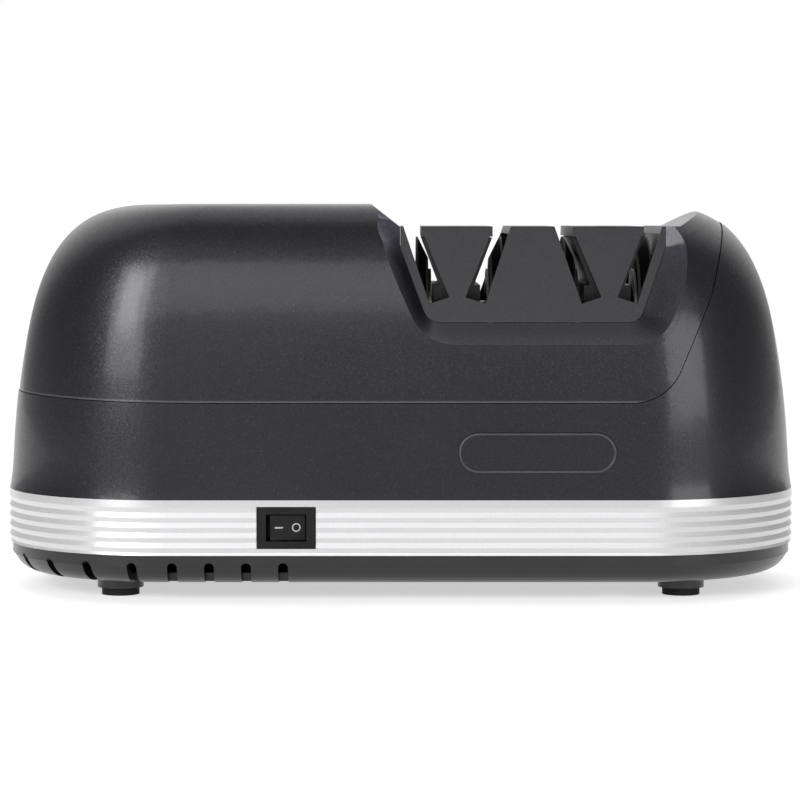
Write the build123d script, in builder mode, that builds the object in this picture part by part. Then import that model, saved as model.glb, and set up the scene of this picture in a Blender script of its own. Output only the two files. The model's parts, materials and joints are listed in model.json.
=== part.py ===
from build123d import *

import os
from math import atan, cos, radians, sin, tan

# Electric knife sharpener: a motor in a tall hump turns one long spindle with
# four cone wheels under a slotted block.  Millimetres, +X to the right, +Y to
# the back, +Z up.  The origin is under the middle of the feet.

# ---------------------------------------------------------------- main form
length = 214.6
depth = 95.0
body_top = 104.3  # of the full form; the cover stands a little inside it
end_flat = 2.5  # half of the straight stretch at each rounded end
shoulder_start = 40.0
shoulder_power = 3.5
end_shoulder = 39.0
side_shoulder = 22.0
end_lean = 0.10
side_lean = 0.09
shoulder_steps = 8

# ------------------------------------------------------------ shells, seams
wall = 2.6
band_step = 0.2  # the housing stands this far inside the trim band
cover_step = 0.2  # the cover stands this far inside the housing
seam_gap = 0.2
part_line = 51.9
part_rise = 2.2  # how far the seam climbs to the left end
part_bend_inset = 62.3  # from the left end
cheek_split_z = 60.0  # the right cheek is a piece of its own above this

# ----------------------------------------------------- right cheek of the seam
cheek_turn_radius = 14.0
cheek_inset = 25.3  # from the right end
cheek_middle_z = 80.0
cheek_lean = 24.0
cheek_top_lean = 15.0

# ---------------------------------------------------------------- trim band
band_bottom = 12.4
band_top = 26.9
band_thickness = 1.8
rib_count = 5
rib_pitch = 2.63
rib_first = 14.45  # height of the lowest ridge
rib_depth = 0.5
band_gap = 0.15
skirt_wall = 2.2

# ---------------------------------------------------------------- base tray
base_bottom = 4.6
base_step = 0.9
base_wall = 2.2
base_edge_radius = 7.0
base_ledge = 3.0
base_lip = 2.4
lip_gap = 0.25
vent_width = 2.6
vent_top = 10.4
vent_reach = 9.0
vent_row_inset = 76.6  # of the vent nearest the middle
vent_pitch = 9.65
vent_count = 4
corner_vent_first = 10.5
corner_vent_step = 17.0
corner_vent_count = 5

# --------------------------------------------------------------------- feet
foot_inset = 32.5
foot_y = 27.5
foot_radius = 5.0
foot_height = 2.0
collar_radius = 6.15
foot_stem_radius = 3.0
foot_stem_length = 1.6
press_gap = 0.02

# ---------------------------------------------------- bosses and base screws
boss_left_inset = 41.3
boss_right_inset = 51.3
boss_y = 32.0
boss_radius = 4.2
boss_bottom = 9.2
boss_top = 46.0
rib_bottom = 18.0
rib_width = 2.0
screw_radius = 1.4
screw_gap = 0.1
screw_length = 14.0
screw_head_radius = 3.0
screw_head_height = 1.8
screw_head_depth = 2.4

# ----------------------------------------------------------- slotted block
block_inset = 72.4  # of its middle, from the right end
block_half_top = 35.0
block_top = 97.9
block_bottom = 72.8
block_knee_drop = 5.4  # the sides stand upright this far down from the top
block_side_lean = 20.2
block_face_lean = 18.0
block_foot_y = 37.2
block_corner = 4.5
block_edge_radius = 0.5
block_wall = 2.4
block_roof = 2.0
block_side_wall = 0.8
block_gap = 0.3

# ------------------------------------------------ recess round the block
recess_depth = 9.0
recess_left_growth = 7.3
recess_left_rise = 13.5  # growth where the left wall turns over the shoulder
recess_left_rise_z = 99.0
recess_left_top = 30.0
recess_left_top_z = 103.5
recess_right_low_growth = 12.0
recess_right_growth = 24.0
recess_bottom_growth = 16.5
recess_corner = 16.0
recess_knee_radius = 24.0
base_share = 0.004  # growth at the block's face, so that every corner of the outline stays
recess_fit = 0.05  # between the block and the walls round it
bevel_reach = 18.0
recess_skin = 2.2
recess_channel = 3.0
left_bevel = 38.0
right_bevel = 30.0
left_ledge = 0.3  # level strips beside the block before the bevels rise
right_ledge = 4.0
recess_wall_bottom = 90.0

# -------------------------------------------------------------- knife slots
stage_pitch = 40.0
slot_outer_bottom_x = 7.35
slot_outer_bottom_z = 77.6
slot_outer_lean = 18.7
slot_inner_bottom_x = 2.1
slot_inner_bottom_z = 79.3
slot_inner_lean = 22.3
slot_cap_x = 9.4
slot_cap_z = 95.2
wedge_bottom = 82.3

# ------------------------------------------------------ black blade guides
guide_half_length = 27.0
guide_floor = 78.0
guide_half_width = 6.2
guide_top_x = 9.35
guide_foot_x = 4.55

# -------------------------------------------------------- spindle and wheels
spindle_z = 73.0
spindle_radius = 3.0
spindle_flat = 0.6  # depth of the flat that drives the wheels
spindle_left_inset = 17.3
spindle_right_inset = 19.3
flat_lead = 26.9  # the flat starts this far left of the first stage
spindle_offset = 0.9  # the wheel pairs sit this far right of the slots
running_gap = 0.05
wheel_radius = 22.0
wheel_small_radius = 16.2
wheel_rim_x = 11.2
wheel_face_x = 8.3
wheel_rim_width = 0.5
wheel_rim_lip = 2.0
wheel_web = 2.2
wheel_hub_radius = 6.0
wheel_hub_x = 14.0
disc_radius = 13.2
disc_thickness = 0.8
disc_bore = 9.0
spring_length = 4.6
spring_radius = 4.6
spring_wire = 0.8
spring_turns = 3.0
collar_width = 1.6
spring_collar_radius = 5.6
spacer_radius = 4.4
stop_gap = 0.1

# --------------------------------------------------------------------- motor
stack_inset = 56.3
stack_length = 20.0
stack_half_width = 23.0
stack_bottom = 30.0
stack_top = 94.0
stack_limb = 10.0
rotor_radius = 12.0
air_gap = 0.4
coil_window_top = 53.0
coil_window_half = 14.0
coil_build = 11.0
bobbin_wall = 1.0
bobbin_gap = 0.3
pedestal_y = 19.5
pedestal_width = 6.0
cradle_wall = 3.0
cradle_rise = 3.0
hold_rib_y = 14.0
hold_rib_width = 2.0
bracket_reach = 11.0
bracket_plate = 3.0
bracket_half_height = 8.0
bracket_pillar_radius = 4.0
bracket_pillar_y = 17.5
bush_radius = 5.5
bush_length = 8.0
motor_screw_radius = 2.0
motor_head_radius = 3.6
motor_nut_height = 2.4
fan_radius = 19.0
fan_width = 8.0
fan_disc = 1.2
fan_blade = 1.2
fan_blades = 9
fan_inset = 25.3
fan_hub_radius = 6.0

# ------------------------------------------------------------- end bracket
end_bracket_inset = 25.3
end_bracket_half_width = 9.5
end_plate = 3.0
end_foot_length = 14.0
end_foot_half_width = 17.0
end_seat_z = 12.0
end_seat_radius = 3.2
end_seat_y = 13.5

# -------------------------------------------------------------------- switch
switch_x = -29.8
switch_z = 19.7
bezel_length = 15.0
bezel_height = 10.5
rocker_length = 10.5
rocker_height = 7.1
rocker_gap = 0.3
rocker_tilt = 9.0
rocker_side_gap = 0.7
rocker_rest_gap = 0.05
rocker_pivot_depth = 3.2
rocker_dip = 0.5
rocker_back = 2.2
rocker_back_half = 2.8
rocker_pin_radius = 0.8
rocker_well = 7.0
switch_body_length = 13.0
switch_body_height = 8.6
switch_body_depth = 13.0
window_gap = 0.25
terminal_x = 3.5
terminal_thickness = 0.8
terminal_width = 4.8
terminal_length = 7.0

# --------------------------------------------------------------------- badge
badge_shift = 0.7  # right of the block's middle
badge_z = 39.1
badge_length = 41.6
badge_height = 10.9
badge_depth = 0.35

# -------------------------------------------------------------- cord inlet
gland_inset = 57.3
gland_z = 36.0
gland_radius = 4.6
gland_gap = 0.1
gland_bore = 3.3
gland_length = 5.2
gland_flange_radius = 6.0
gland_flange_thickness = 1.4

half_length = length / 2
half_depth = depth / 2
base_floor = base_bottom + base_wall

# Places along the body are measured from the end that they belong to.
part_bend_x = part_bend_inset - half_length
vent_first_x = vent_row_inset - half_length
spindle_left = spindle_left_inset - half_length
stack_x = stack_inset - half_length
fan_x = fan_inset - half_length
gland_x = gland_inset - half_length
foot_x = half_length - foot_inset
cheek_middle_x = half_length - cheek_inset
block_x = half_length - block_inset
spindle_right = half_length - spindle_right_inset
end_bracket_x = half_length - end_bracket_inset
boss_x = (boss_left_inset - half_length, half_length - boss_right_inset)
boss_places = [(x, y) for x in boss_x for y in (-boss_y, boss_y)]
stage_x = (block_x - stage_pitch / 2, block_x + stage_pitch / 2)
flat_start = stage_x[0] - flat_lead
badge_x = block_x + badge_shift
block_knee = block_top - block_knee_drop

os.makedirs("parts", exist_ok=True)


def save(part, label):
    """Name a finished piece and write it out."""
    part.label = label
    export_step(part, f"parts/{label}.step")


# ================================================================ body form
def plan(inset, height):
    """Plan outline at the trim band, moved inwards by inset, at a height."""
    with BuildSketch(Plane.XY.offset(height)) as outline:
        RectangleRounded(
            2 * (half_length - inset),
            2 * (half_depth - inset),
            half_depth - inset - end_flat,
        )
    return outline.sketch


def form_section(height, turn, inset):
    """One plan section of the body form; turn runs from 0 at the wall to 1 on top."""
    rise = height - band_top
    section_length = half_length - inset - end_lean * rise - end_shoulder * turn
    section_depth = half_depth - inset - side_lean * rise - side_shoulder * turn
    drop = inset * (height - band_top) / (body_top - band_top)
    with BuildSketch(Plane.XY.offset(height - drop)) as section:
        RectangleRounded(2 * section_length, 2 * section_depth, section_depth - end_flat)
    return section.sketch


def body_form(inset):
    """Closed body form above the band: leaning walls and a superelliptic shoulder."""
    sections = [form_section(band_top, 0, inset), form_section(shoulder_start, 0, inset)]
    for step in range(1, shoulder_steps + 1):
        angle = radians(90 * step / shoulder_steps)
        share = sin(angle) ** (2 / shoulder_power)
        turn = 1 - max(0.0, cos(angle)) ** (2 / shoulder_power)
        height = shoulder_start + (body_top - shoulder_start) * share
        sections.append(form_section(height, turn, inset))
    with BuildPart() as form:
        loft(sections)
    return form.part


housing_form = body_form(band_step)
cover_form = body_form(band_step + cover_step)
hollow_form = body_form(band_step + wall)


# =============================================== seam between cover and housing
def above_seam(gap):
    """Everything over the seam, lifted by gap, as one block through the body."""
    far = length
    middle_lean = tan(radians(cheek_lean))
    turn_z = part_line + gap
    top_z = 2 * body_top
    middle = (cheek_middle_x - gap, cheek_middle_z)
    turn = (cheek_middle_x - gap - middle_lean * (cheek_middle_z - turn_z), turn_z)
    top = (middle[0] + tan(radians(cheek_top_lean)) * (top_z - cheek_middle_z), top_z)
    bend = (part_bend_x, turn_z)
    left = (-far / 2 - 10, turn_z + part_rise)
    with BuildPart() as block:
        with BuildSketch(Plane.XZ):
            with BuildLine():
                FilletPolyline(bend, turn, middle, top, radius=cheek_turn_radius)
                Line(top, (-far / 2 - 10, top_z))
                Line((-far / 2 - 10, top_z), left)
                TangentArc(bend, left, tangent=(-1, 0))
            make_face()
        extrude(amount=depth, both=True)
    return block.part


# ===================================================== block outline and recess
face_plane = Plane(
    origin=(block_x, -block_foot_y, block_bottom),
    x_dir=(1, 0, 0),
    z_dir=(0, -cos(radians(block_face_lean)), sin(radians(block_face_lean))),
)
face_stretch = 1 / cos(radians(block_face_lean))
side_ratio = tan(radians(block_side_lean))
knee_up = (block_knee - block_bottom) * face_stretch
block_half_bottom = block_half_top - side_ratio * (block_knee - block_bottom)


def recess_sketch(out, skin, share):
    """Recess outline on a plane moved out from the block's face.

    The outline is skin wider than the block, and share of the full growth is added.
    """
    reach = 2 * body_top
    base = block_half_bottom + recess_fit + skin
    top = block_half_top + recess_fit + skin
    drop = share * recess_bottom_growth
    slant = side_ratio * drop / face_stretch
    with BuildSketch(face_plane.offset(out)) as outline:
        Polygon(
            (-base - share * recess_left_growth + slant, -recess_fit - skin - drop),
            (base + share * recess_right_low_growth, -recess_fit - skin - drop),
            (top + share * recess_right_growth, knee_up),
            (top + share * recess_right_growth, reach),
            (-top - share * recess_left_top, reach),
            (-top - share * recess_left_top, (recess_left_top_z - block_bottom) * face_stretch),
            (-top - share * recess_left_rise, (recess_left_rise_z - block_bottom) * face_stretch),
            (-top - share * recess_left_growth, knee_up),
            align=None,
        )
        knee = outline.vertices().group_by(Axis.X)[-1].sort_by(Axis.Y)[0]
        fillet(knee, skin + share * recess_knee_radius)
        fillet(outline.vertices().group_by(Axis.Y)[0], block_corner + skin + share * recess_corner)
    return outline.sketch


def recess_pocket(skin):
    """Front recess with its slanted walls; skin makes the same form that much wider."""
    with BuildPart() as pocket:
        loft([recess_sketch(0, skin, base_share), recess_sketch(recess_depth, skin, 1)], ruled=True)
        extrude(recess_sketch(-recess_channel, skin, base_share), recess_channel)
    return pocket.part


def bevel_side(side, angle, ledge):
    """Slab under the ledge and bevel that join the body's top to the block, on one side."""
    slope = tan(radians(angle))
    inner = block_half_top + recess_fit
    reach = ledge + bevel_reach
    rise = slope * bevel_reach
    with BuildPart() as slab:
        with BuildSketch(Plane.XZ):
            with Locations((block_x, 0)):
                Polygon(
                    (side * inner, recess_wall_bottom),
                    (side * (inner + recess_skin), recess_wall_bottom),
                    (side * (inner + recess_skin), block_top - recess_skin),
                    (side * (inner + ledge + recess_skin), block_top - recess_skin),
                    (side * (inner + reach), block_top + rise - recess_skin),
                    (side * (inner + reach), block_top + rise),
                    (side * (inner + ledge), block_top),
                    (side * inner, block_top),
                    align=None,
                )
        extrude(amount=half_depth, both=True)
    return slab.part


def bevel_cut(side, angle, ledge):
    """Space over that ledge and bevel."""
    slope = tan(radians(angle))
    inner = block_half_top + recess_fit
    reach = bevel_reach + wall
    with BuildPart() as space:
        with BuildSketch(Plane.XZ):
            with Locations((block_x, 0)):
                Polygon(
                    (side * inner, block_top),
                    (side * (inner + ledge), block_top),
                    (side * (inner + ledge + reach), block_top + slope * reach),
                    (side * inner, block_top + slope * reach),
                    align=None,
                )
        extrude(amount=half_depth, both=True)
    return space.part


# ============================================================== upper cover
front_pocket = recess_pocket(0)
front_skin = recess_pocket(recess_skin)

with BuildPart() as recess_walls:
    add(front_skin)
    add(mirror(front_skin, about=Plane.XZ))
    add(bevel_side(-1, left_bevel, left_ledge))
    add(bevel_side(1, right_bevel, right_ledge))
    # Ribs that hold the stator down.
    with BuildSketch(Plane.XY.offset(stack_top + block_gap)):
        with Locations((stack_x, -hold_rib_y), (stack_x, hold_rib_y)):
            Rectangle(stack_length, hold_rib_width)
    extrude(amount=body_top - stack_top)
    add(cover_form, mode=Mode.INTERSECT)

with BuildPart() as upper_cover:
    add(cover_form)
    add(hollow_form, mode=Mode.SUBTRACT)
    add(recess_walls.part)
    add(front_pocket, mode=Mode.SUBTRACT)
    add(mirror(front_pocket, about=Plane.XZ), mode=Mode.SUBTRACT)
    add(bevel_cut(-1, left_bevel, left_ledge), mode=Mode.SUBTRACT)
    add(bevel_cut(1, right_bevel, right_ledge), mode=Mode.SUBTRACT)
    with BuildSketch(Plane.XY.offset(block_knee)):
        with Locations((block_x, 0)):
            Rectangle(2 * (block_half_top + recess_fit), 2 * block_foot_y)
    extrude(amount=body_top, mode=Mode.SUBTRACT)
    add(above_seam(seam_gap), mode=Mode.INTERSECT)
save(upper_cover.part, "upper_cover")

# ============================================================ lower housing
skirt_out = band_thickness + band_gap
skirt_in = skirt_out + skirt_wall
skirt_bottom = band_bottom + seam_gap
skirt_height = band_top + wall - skirt_bottom
wall_lean = atan(side_lean)
switch_face_y = -half_depth


def wall_y(height, inset):
    """Depth of the front wall's face below the shoulder, at a height."""
    return half_depth - inset - side_lean * (height - band_top)


badge_plane = Plane(
    origin=(badge_x, badge_depth - wall_y(badge_z, band_step), badge_z),
    x_dir=(1, 0, 0),
    z_dir=(0, -cos(wall_lean), sin(wall_lean)),
)

with BuildPart() as housing_shell:
    add(housing_form)
    add(hollow_form, mode=Mode.SUBTRACT)
    add(above_seam(0), mode=Mode.SUBTRACT)

with BuildPart() as housing_cheek:
    with BuildSketch(Plane.XY.offset(cheek_split_z)):
        Rectangle(length, 2 * depth, align=(Align.MIN, Align.CENTER))
    extrude(amount=body_top)
    add(housing_shell.part, mode=Mode.INTERSECT)
save(housing_cheek.part, "housing_cheek")

with BuildPart() as lower_housing:
    add(housing_shell.part)
    add(housing_cheek.part, mode=Mode.SUBTRACT)
    extrude(plan(skirt_out, skirt_bottom), skirt_height)
    extrude(plan(skirt_in, skirt_bottom), skirt_height, mode=Mode.SUBTRACT)
    # Screw bosses, each tied to the wall by a rib.
    with BuildSketch(Plane.XY.offset(boss_bottom)):
        with Locations(*boss_places):
            Circle(boss_radius)
    extrude(amount=boss_top - boss_bottom)
    with BuildSketch(Plane.XY.offset(rib_bottom)):
        for place_x, place_y in boss_places:
            rib_reach = wall_y(boss_top, band_step + wall / 2) - abs(place_y)
            middle_y = place_y + (rib_reach / 2 if place_y > 0 else -rib_reach / 2)
            with Locations((place_x, middle_y)):
                Rectangle(rib_width, rib_reach)
    extrude(amount=boss_top - rib_bottom)
    with Locations(*[(place_x, place_y, boss_bottom) for place_x, place_y in boss_places]):
        Cylinder(
            screw_radius + screw_gap,
            screw_length + 1,
            align=(Align.CENTER, Align.CENTER, Align.MIN),
            mode=Mode.SUBTRACT,
        )
    # Switch window, badge recess and cord inlet.
    with Locations((switch_x, switch_face_y + skirt_in / 2 + skirt_out / 2, switch_z)):
        Box(
            switch_body_length + 2 * window_gap,
            2 * skirt_wall,
            switch_body_height + 2 * window_gap,
            mode=Mode.SUBTRACT,
        )
    with BuildSketch(badge_plane):
        SlotOverall(badge_length, badge_height)
    extrude(amount=2 * badge_depth, mode=Mode.SUBTRACT)
    with Locations(Location((gland_x, half_depth - 2 * wall, gland_z), (-90, 0, 0))):
        Cylinder(
            gland_radius + gland_gap,
            4 * wall,
            align=(Align.CENTER, Align.CENTER, Align.MIN),
            mode=Mode.SUBTRACT,
        )
save(lower_housing.part, "lower_housing")

# ================================================================ trim band
edge_inset = rib_depth / 2
band_sections = [plan(edge_inset, band_bottom)]
for rib in range(rib_count):
    ridge_z = rib_first + rib * rib_pitch
    band_sections += [plan(rib_depth, ridge_z - rib_pitch / 2), plan(0, ridge_z)]
band_sections.append(plan(edge_inset, band_top))

with BuildPart() as trim_band:
    loft(band_sections, ruled=True)
    extrude(plan(band_thickness, band_bottom), band_top - band_bottom, mode=Mode.SUBTRACT)
    with Locations((switch_x, -half_depth, switch_z)):
        Box(
            bezel_length + 2 * window_gap,
            4 * band_thickness,
            bezel_height + 2 * window_gap,
            mode=Mode.SUBTRACT,
        )
save(trim_band.part, "trim_band")

# ================================================================ base tray
foot_places = [(side * foot_x, back * foot_y) for side in (-1, 1) for back in (-1, 1)]
end_seats = [(end_bracket_x, -end_seat_y), (end_bracket_x, end_seat_y)]
corner_x = half_length - base_step - (half_depth - base_step - end_flat)


def vent_cutter():
    """One vent, centred on the origin's front, from the underside up to its round top."""
    with BuildPart() as cutter:
        with BuildSketch(Plane.XZ.offset(-vent_reach)):
            with Locations((0, vent_top - vent_width / 2)):
                Circle(vent_width / 2)
            with Locations((0, vent_top - vent_width / 2)):
                Rectangle(vent_width, vent_top, align=(Align.CENTER, Align.MAX))
        extrude(amount=2 * vent_reach)
    return cutter.part


vent = vent_cutter()
vent_row_y = half_depth - base_step
vents = [Pos(vent_first_x - step * vent_pitch, -vent_row_y, 0) * vent for step in range(vent_count)]
for step in range(corner_vent_count):
    turn = Pos(-corner_x, -end_flat, 0) * Rot(0, 0, -(corner_vent_first + step * corner_vent_step))
    vents.append(turn * Pos(0, -(vent_row_y - end_flat), 0) * vent)

with BuildPart() as base_hollow:
    extrude(plan(base_step + base_wall, base_floor), band_bottom)
    fillet(base_hollow.edges().group_by(Axis.Z)[0], base_edge_radius - base_wall)

with BuildPart() as base_tray:
    extrude(plan(base_step, base_bottom), band_bottom - base_bottom)
    fillet(base_tray.edges().group_by(Axis.Z)[0], base_edge_radius)
    add(base_hollow.part, mode=Mode.SUBTRACT)
    extrude(plan(base_step, band_bottom - base_ledge), base_ledge)
    extrude(plan(skirt_in + lip_gap, band_bottom), base_lip)
    lip_inner = skirt_in + lip_gap + base_wall
    extrude(plan(lip_inner, band_bottom - base_ledge), base_ledge + base_lip, mode=Mode.SUBTRACT)
    for cut in vents:
        add(cut, mode=Mode.SUBTRACT)
        add(mirror(cut, about=Plane.XZ), mode=Mode.SUBTRACT)
    # Collars that hold the rubber feet.
    with BuildSketch(Plane.XY.offset(foot_height)):
        with Locations(*foot_places):
            Circle(collar_radius)
    extrude(amount=base_floor - foot_height)
    with BuildSketch(Plane.XY.offset(foot_height)):
        with Locations(*foot_places):
            Circle(foot_stem_radius + press_gap)
    extrude(amount=foot_stem_length + press_gap, mode=Mode.SUBTRACT)
    # Screw seats under the housing's bosses.
    with BuildSketch(Plane.XY.offset(base_bottom)):
        with Locations(*boss_places):
            Circle(boss_radius)
    extrude(amount=boss_bottom - base_bottom)
    with BuildSketch(Plane.XY.offset(base_bottom)):
        with Locations(*boss_places):
            Circle(screw_radius + screw_gap)
    extrude(amount=boss_bottom - base_bottom, mode=Mode.SUBTRACT)
    with BuildSketch(Plane.XY.offset(base_bottom)):
        with Locations(*boss_places):
            Circle(screw_head_radius + screw_gap)
    extrude(amount=screw_head_depth, mode=Mode.SUBTRACT)
    # Cradle under the stator.
    with BuildSketch(Plane.XY.offset(base_floor)):
        with Locations((stack_x, -pedestal_y), (stack_x, pedestal_y)):
            Rectangle(stack_length + 2 * cradle_wall, pedestal_width)
    extrude(amount=stack_bottom + cradle_rise - base_floor)
    with Locations((stack_x, 0, stack_bottom)):
        Box(
            stack_length,
            2 * stack_half_width,
            2 * cradle_rise,
            align=(Align.CENTER, Align.CENTER, Align.MIN),
            mode=Mode.SUBTRACT,
        )
    # Seats for the end bracket.
    with BuildSketch(Plane.XY.offset(base_floor)):
        with Locations(*end_seats):
            Circle(end_seat_radius)
    extrude(amount=end_seat_z - base_floor)
    with BuildSketch(Plane.XY.offset(base_floor)):
        with Locations(*end_seats):
            Circle(screw_radius)
    extrude(amount=end_seat_z - base_floor, mode=Mode.SUBTRACT)
save(base_tray.part, "base_tray")

# ======================================================= feet and base screws
with BuildPart() as rubber_feet:
    with BuildSketch():
        with Locations(*foot_places):
            Circle(foot_radius)
    extrude(amount=foot_height)
    with BuildSketch(Plane.XY.offset(foot_height)):
        with Locations(*foot_places):
            Circle(foot_stem_radius)
    extrude(amount=foot_stem_length)
save(rubber_feet.part, "rubber_feet")

with BuildPart() as base_screws:
    screw_head_z = base_bottom + screw_head_depth
    with BuildSketch(Plane.XY.offset(screw_head_z)):
        with Locations(*boss_places):
            Circle(screw_head_radius)
    extrude(amount=-screw_head_height)
    with BuildSketch(Plane.XY.offset(screw_head_z)):
        with Locations(*boss_places):
            Circle(screw_radius)
    extrude(amount=boss_bottom + screw_length - screw_head_z)
save(base_screws.part, "base_screws")

# ============================================================ slotted block
block_top_y = block_foot_y - tan(radians(block_face_lean)) * (block_top - block_bottom)
plate_inset = block_wall / cos(radians(block_face_lean))
outer_ratio = tan(radians(slot_outer_lean))
inner_ratio = tan(radians(slot_inner_lean))


def slot_outer_x(height):
    """Distance of a slot's outer edge from its stage's middle."""
    return slot_outer_bottom_x + outer_ratio * (height - slot_outer_bottom_z)


def slot_inner_x(height):
    """Distance of a slot's inner edge, the flank of the middle wedge."""
    return slot_inner_bottom_x + inner_ratio * (height - slot_inner_bottom_z)


def block_profile(inset, top, bottom, rounding):
    """End view of the block, with its two sloping faces moved in by inset."""
    lean = tan(radians(block_face_lean))
    top_y = block_top_y - inset + lean * (block_top - top)
    bottom_y = block_foot_y - inset + lean * (block_bottom - bottom)
    with BuildSketch(Plane.YZ) as profile:
        Polygon((-bottom_y, bottom), (-top_y, top), (top_y, top), (bottom_y, bottom), align=None)
        fillet(profile.vertices().group_by(Axis.Y)[-1], rounding)
    return profile.sketch


with BuildPart() as block_hollow:
    inner_top = block_top - block_roof
    hollow_profile = block_profile(plate_inset, inner_top, block_bottom - 1, block_edge_radius / 2)
    extrude(hollow_profile, length, both=True)
    with BuildSketch(Plane.XZ):
        with Locations((block_x, block_bottom - 1)):
            Rectangle(
                2 * (block_half_top - block_side_wall),
                inner_top - block_bottom + 1,
                align=(Align.CENTER, Align.MIN),
            )
    extrude(amount=depth, both=True, mode=Mode.INTERSECT)
    with BuildSketch(Plane.XZ):
        with Locations(*[(middle, 0) for middle in stage_x]):
            Polygon(
                (-slot_inner_x(slot_cap_z), slot_cap_z),
                (-slot_inner_x(wedge_bottom), wedge_bottom),
                (slot_inner_x(wedge_bottom), wedge_bottom),
                (slot_inner_x(slot_cap_z), slot_cap_z),
                (slot_cap_x, slot_cap_z),
                (slot_cap_x, block_top),
                (-slot_cap_x, block_top),
                (-slot_cap_x, slot_cap_z),
                align=None,
            )
    extrude(amount=depth, both=True, mode=Mode.SUBTRACT)

with BuildPart() as slot_block:
    with BuildSketch(Plane.XZ) as block_face:
        with Locations((block_x, 0)):
            Polygon(
                (-block_half_bottom, block_bottom),
                (block_half_bottom, block_bottom),
                (block_half_top, block_knee),
                (block_half_top, block_top),
                (-block_half_top, block_top),
                (-block_half_top, block_knee),
                align=None,
            )
        fillet(block_face.vertices().group_by(Axis.Y)[0], block_corner)
    extrude(amount=depth, both=True)
    outer_profile = block_profile(0, block_top, block_bottom, block_edge_radius)
    extrude(outer_profile, length, both=True, mode=Mode.INTERSECT)
    add(block_hollow.part, mode=Mode.SUBTRACT)
    # Two knife slots in each stage.
    over = block_top + 1
    with BuildSketch(Plane.XZ):
        with Locations(*[(middle, 0) for middle in stage_x]):
            for side in (-1, 1):
                Polygon(
                    (side * slot_outer_bottom_x, slot_outer_bottom_z),
                    (side * slot_outer_x(over), over),
                    (side * slot_cap_x, over),
                    (side * slot_cap_x, slot_cap_z),
                    (side * slot_inner_x(slot_cap_z), slot_cap_z),
                    (side * slot_inner_bottom_x, slot_inner_bottom_z),
                    align=None,
                )
    extrude(amount=depth, both=True, mode=Mode.SUBTRACT)
save(slot_block.part, "slot_block")

# ============================================================= blade guides
for stage, middle in zip(("coarse", "fine"), stage_x):
    with BuildPart() as blade_guide:
        with BuildSketch(Plane.XZ):
            with Locations((middle, 0)):
                for side in (-1, 1):
                    Polygon(
                        (0, guide_floor),
                        (side * guide_half_width, guide_floor),
                        (side * guide_half_width, wedge_bottom),
                        (side * guide_foot_x, wedge_bottom),
                        (side * guide_top_x, slot_cap_z - block_gap),
                        (side * slot_inner_x(slot_cap_z - block_gap), slot_cap_z - block_gap),
                        (side * slot_inner_x(wedge_bottom), wedge_bottom),
                        (0, wedge_bottom),
                        align=None,
                    )
        extrude(amount=guide_half_length, both=True)
    save(blade_guide.part, f"{stage}_blade_guide")

# ================================================================== spindle
spindle_plane = Plane(origin=(0, 0, spindle_z), x_dir=(0, 1, 0), z_dir=(1, 0, 0))
pair_x = [middle + spindle_offset for middle in stage_x]


def flat_bore(radius, flat, reach):
    """Sketch of a round with one flat side, for the driven stretch of the spindle."""
    with BuildSketch(spindle_plane.offset(reach)) as bore:
        Circle(radius)
        with Locations((0, flat)):
            Rectangle(4 * radius, 2 * radius, align=(Align.CENTER, Align.MIN), mode=Mode.SUBTRACT)
    return bore.sketch


def turned(points):
    """A turned piece from (x, radius) points about the spindle's axis."""
    with BuildPart() as piece:
        with BuildSketch(Plane.XZ):
            with Locations((0, spindle_z)):
                Polygon(*points, align=None)
        revolve(axis=Axis((0, 0, spindle_z), (1, 0, 0)))
    return piece.part


def sleeve(start, end, radius, bore):
    """A plain tube along the spindle."""
    return turned([(start, bore), (end, bore), (end, radius), (start, radius)])


with BuildPart() as spindle_shaft:
    bevel = spindle_flat / 2
    shaft_points = [
        (spindle_left, 0),
        (spindle_left, spindle_radius - bevel),
        (spindle_left + bevel, spindle_radius),
        (spindle_right - bevel, spindle_radius),
        (spindle_right, spindle_radius - bevel),
        (spindle_right, 0),
    ]
    add(turned(shaft_points))
    with Locations((flat_start, 0, spindle_z + spindle_radius - spindle_flat)):
        Box(length, depth, depth, align=(Align.MIN, Align.CENTER, Align.MIN), mode=Mode.SUBTRACT)
save(spindle_shaft.part, "spindle_shaft")

wheel_bore = spindle_radius + running_gap
wheel_points = [
    (wheel_face_x, 0),
    (wheel_face_x, wheel_small_radius),
    (wheel_rim_x, wheel_radius),
    (wheel_rim_x + wheel_rim_width, wheel_radius),
    (wheel_rim_x + wheel_rim_width, wheel_radius - wheel_rim_lip),
    (wheel_face_x + wheel_web, wheel_small_radius),
    (wheel_face_x + wheel_web, wheel_hub_radius),
    (wheel_hub_x, wheel_hub_radius),
    (wheel_hub_x, 0),
]
ring_points = [
    (wheel_face_x - disc_thickness, disc_bore),
    (wheel_face_x - disc_thickness, disc_radius),
    (wheel_face_x, disc_radius),
    (wheel_face_x, disc_bore),
]

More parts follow.
